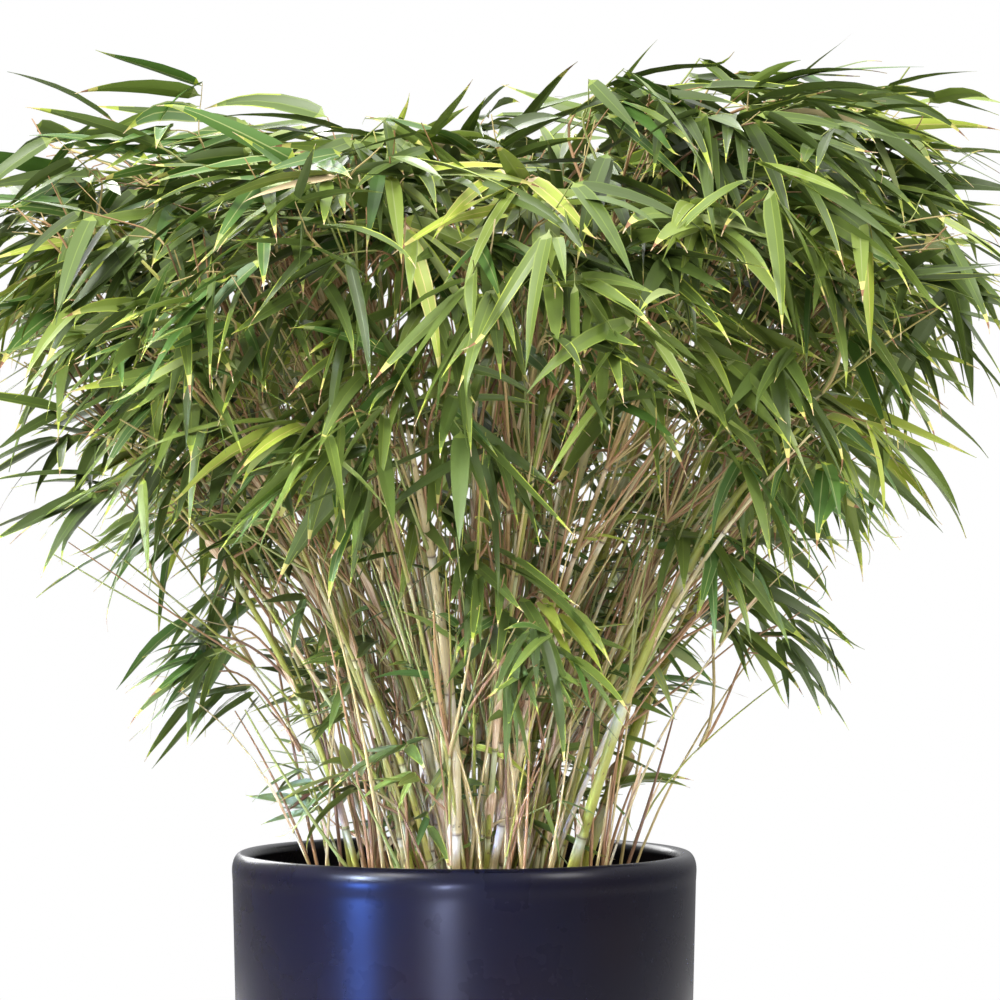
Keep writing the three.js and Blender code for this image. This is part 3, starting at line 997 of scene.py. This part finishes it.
def build_soil():
    """A closed plug of soil. Its top is a disc of rings, raised and sunk by a sum of seeded waves."""
    rng = np.random.default_rng(5)
    radius, top, bottom = SOIL_HIGH[0] - 0.0005, SOIL_HIGH[2], SOIL_LOW[2] + 0.001
    pitch = np.geomspace(25, 380, 36)
    waves = rng.normal(0, 1, (36, 2)) * pitch[:, None]
    phase = rng.uniform(0, 6.28, 36)

    def crumbled(grid):
        x, y, z = grid[..., 0], grid[..., 1], grid[..., 2]
        steps = x[..., None] * waves[:, 0] + y[..., None] * waves[:, 1] + phase
        relief = (0.05 / pitch * np.sin(steps)).sum(-1)
        share = np.clip(1.0 - np.hypot(x, y) / radius, 0, 1)
        level = np.where(z > top - 1e-6, np.clip(relief, -0.004, 0.006) * np.minimum(1, 8 * share) + 0.001, 0)
        return np.stack([x, y, z + level], -1)

    rings = np.linspace(radius, 0, SOIL_RINGS)[:-1]
    profile = np.concatenate([
        [[0, bottom], [radius - 0.004, bottom], [radius, top - 0.004]],
        np.stack([rings, np.full(len(rings), top)], 1),
        [[0, top + 0.001]],
    ])
    points, faces = lathe(profile, SOIL_SIDES, crumbled)
    return make_piece("soil_top", points, faces, [soil_finish()])


def build_litter():
    """Fallen leaves that lie on the soil."""
    rng = np.random.default_rng(8)
    angle, reach = rng.uniform(0, 2 * np.pi, LITTER), 0.17 * np.sqrt(rng.uniform(0, 1, LITTER))
    base = polar(reach, angle, SOIL_HIGH[2] + rng.uniform(0.006, 0.012, LITTER))
    aim = angle + np.pi + rng.normal(0, 0.9, LITTER)
    heading = unit(polar(1, aim, rng.normal(0.02, 0.05, LITTER)))
    grid = leaf_blades(base, heading, rng.uniform(0.05, 0.1, LITTER), rng.uniform(0.008, 0.014, LITTER),
                       rng.uniform(0, 0.12, LITTER), np.zeros(LITTER), rng.uniform(0, 0.5, LITTER),
                       rng.normal(0, 0.3, LITTER), rng.normal(0, 0.8, LITTER), np.full(LITTER, 0.001))
    grid[..., 2] = np.maximum(grid[..., 2], SOIL_HIGH[2] + 0.003)
    grid = grid[clear_of_planter(grid)]
    tint = rng.choice([STRAW, BROWN, 0, YELLOW], len(grid), p=[0.5, 0.32, 0.1, 0.08])
    return leaf_piece("fallen_leaves", grid, np.repeat(tint, math.prod(LEAF_CELLS)))


# ---- stage

# name, place, target, width and height, share of the main light's power, colour, spread in degrees
LIGHTS = [
    ("key", (-2.1, -2.3, 3.0), (0, 0, 0.75), (1.2, 1.2), 1, (1, 1, 1), 180),
    ("strip", (-2.5, -2.0, 0.16), (0, 0, 0.16), (1.3, 0.44), 0.026, (0.10, 0.24, 1), 16),
    ("front", (-0.62, -4.2, 0.2), (0, 0, 0.18), (0.3, 0.44), 0.008, (0.55, 0.62, 1), 16),
    ("glint", (-2.3, -1.85, 1.5), (0, -0.2, 0.36), (0.4, 0.4), 0.014, (0.6, 0.72, 1), 14),
    ("fill", (2.8, -2.0, 2.6), (0, 0, 0.75), (1.2, 1.2), 0.55, (1, 0.98, 0.95), 180),
    ("rim", (-1.4, 2.6, 2.3), (0, 0, 0.75), (1.6, 2.2), 0.8, (1, 1, 1), 180),
]
CAMERA_ASIDE = 0.033
# How the sky's light grows with height: from 0.34 at the horizon to 1.95 at a height of 0.7 and over.
SKY_RAMP = {"From Min": 0.0, "From Max": 0.7, "To Min": 0.34, "To Max": 1.95}


def add_light(name, at, target, size, power, colour, spread):
    """An area light at one point that looks at another."""
    light = bpy.data.lights.new(name, "AREA")
    light.spread = math.radians(spread)
    light.shape = "RECTANGLE"
    light.size, light.size_y = size
    light.energy = power
    light.color = colour
    lamp = add_object(name, light)
    lamp.location = at
    lamp.rotation_euler = (Vector(target) - lamp.location).to_track_quat("-Z", "Y").to_euler()


def build_sky():
    """A sky that looks plain white and lights softly: bright overhead, dimmer round the horizon."""
    world = bpy.data.worlds.new("studio")
    bpy.context.scene.world = world
    world.use_nodes = True
    sky = Nodes(world.node_tree)
    direction = sky.node("ShaderNodeTexCoord", {}).outputs["Generated"]
    height = sky.node("ShaderNodeSeparateXYZ", {0: direction}).outputs["Z"]
    strength = sky.node("ShaderNodeMapRange", {"Value": height, **SKY_RAMP}).outputs["Result"]
    soft = sky.tree.nodes["Background"]
    sky.put(soft.inputs["Color"], (0.97, 0.98, 1))
    sky.put(soft.inputs["Strength"], strength)
    white = sky.node("ShaderNodeBackground", {"Color": (1, 1, 1)})
    seen = sky.node("ShaderNodeLightPath", {}).outputs["Is Camera Ray"]
    pick = sky.node("ShaderNodeMixShader", {0: seen, 1: soft.outputs[0], 2: white.outputs[0]})
    sky.put(sky.tree.nodes["World Output"].inputs["Surface"], pick.outputs[0])


def build_stage():
    """A wide pale floor, a white sky, soft lights and the camera."""
    settings = bpy.context.scene.bamboo_stage
    profile = np.array([[0, -0.004], [2, -0.004], [2, -0.0005], [0, -0.0005]])
    points, faces = lathe(profile, FLOOR_SIDES)
    paper = plain("backdrop_paper", tuple(settings.paper), 0.9)
    make_piece("floor", points, faces, [paper], smooth=False)
    build_sky()
    for name, at, target, size, share, colour, spread in LIGHTS:
        add_light(name, at, target, size, share * settings.key, colour, spread)
    camera_data = bpy.data.cameras.new("camera")
    camera_data.lens = settings.lens
    camera = add_object("camera", camera_data)
    camera.location = (CAMERA_ASIDE, -settings.distance, settings.eye_height)
    camera.rotation_euler = (math.pi / 2 + settings.tilt, 0, 0)
    bpy.context.scene.camera = camera
    bpy.context.scene.view_settings.view_transform = "Standard"


# ---- operators

class BAMBOO_OT_stage(Operator):
    """Add the floor, the lights and the camera"""
    bl_idname = "bamboo.stage"
    bl_label = "Stage"

    def execute(self, context):
        build_stage()
        return {"FINISHED"}


class BAMBOO_OT_planter(Operator):
    """Add the glazed planter"""
    bl_idname = "bamboo.planter"
    bl_label = "Planter"

    def execute(self, context):
        place(build_planter(), ["pot"])
        return {"FINISHED"}


class BAMBOO_OT_soil(Operator):
    """Add the soil and the fallen leaves on it"""
    bl_idname = "bamboo.soil"
    bl_label = "Soil"

    def execute(self, context):
        place(build_soil(), ["soil"])
        place(build_litter())
        return {"FINISHED"}


class BAMBOO_OT_canes(Operator):
    """Grow the canes and their papery sheaths"""
    bl_idname = "bamboo.canes"
    bl_label = "Canes"

    def execute(self, context):
        stood_for = [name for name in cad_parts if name.startswith("cane_")]
        for piece in build_canes():
            place(piece, stood_for)
            stood_for = ()
        place(build_sheaths())
        return {"FINISHED"}


class BAMBOO_OT_twigs(Operator):
    """Grow the branches and twigs"""
    bl_idname = "bamboo.twigs"
    bl_label = "Twigs"

    def execute(self, context):
        place(build_twigs())
        place(build_bare_shoots())
        return {"FINISHED"}


class BAMBOO_OT_leaves(Operator):
    """Grow the leaves, one piece for each part of the crown"""
    bl_idname = "bamboo.leaves"
    bl_label = "Leaves"

    def execute(self, context):
        parts = {"leaves_heart": ("heart",), "leaves_top": ("top",), "leaves_upper": ("upper",),
                 "leaves_middle": ("middle",), "leaves_lower": ("lower", "skirt", "low")}
        for name, tiers in parts.items():
            nodes = [mass for mass in MASSES if mass.split("_")[1] in tiers]
            place(build_leaves(name, tiers), nodes)
        return {"FINISHED"}


class BAMBOO_PT_parts(Panel):
    """Lists the parts of the plant"""
    bl_idname = "BAMBOO_PT_parts"
    bl_label = "Potted bamboo"
    bl_space_type = "VIEW_3D"
    bl_region_type = "UI"
    bl_category = "Bamboo"

    def draw(self, context):
        for operator in OPERATORS:
            self.layout.operator(operator.bl_idname)
        for name, group in SETTINGS.items():
            box = self.layout.box()
            for key in group.__annotations__:
                box.prop(getattr(context.scene, name), key)


SETTINGS = {
    "bamboo_planter": BambooPlanterSettings,
    "bamboo_canes": BambooCaneSettings,
    "bamboo_leaves": BambooLeafSettings,
    "bamboo_stage": BambooStageSettings,
}
OPERATORS = [BAMBOO_OT_stage, BAMBOO_OT_planter, BAMBOO_OT_soil, BAMBOO_OT_canes, BAMBOO_OT_twigs,
             BAMBOO_OT_leaves]


def register():
    for cls in [*SETTINGS.values(), *OPERATORS, BAMBOO_PT_parts]:
        bpy.utils.register_class(cls)
    for name, group in SETTINGS.items():
        setattr(bpy.types.Scene, name, PointerProperty(type=group))


def unregister():
    for name in SETTINGS:
        delattr(bpy.types.Scene, name)
    for cls in [BAMBOO_PT_parts, *OPERATORS, *SETTINGS.values()]:
        bpy.utils.unregister_class(cls)


def main():
    register()
    bpy.ops.bamboo.stage()
    bpy.ops.bamboo.planter()
    bpy.ops.bamboo.soil()
    bpy.ops.bamboo.canes()
    bpy.ops.bamboo.twigs()
    bpy.ops.bamboo.leaves()


if __name__ == "__main__":
    main()
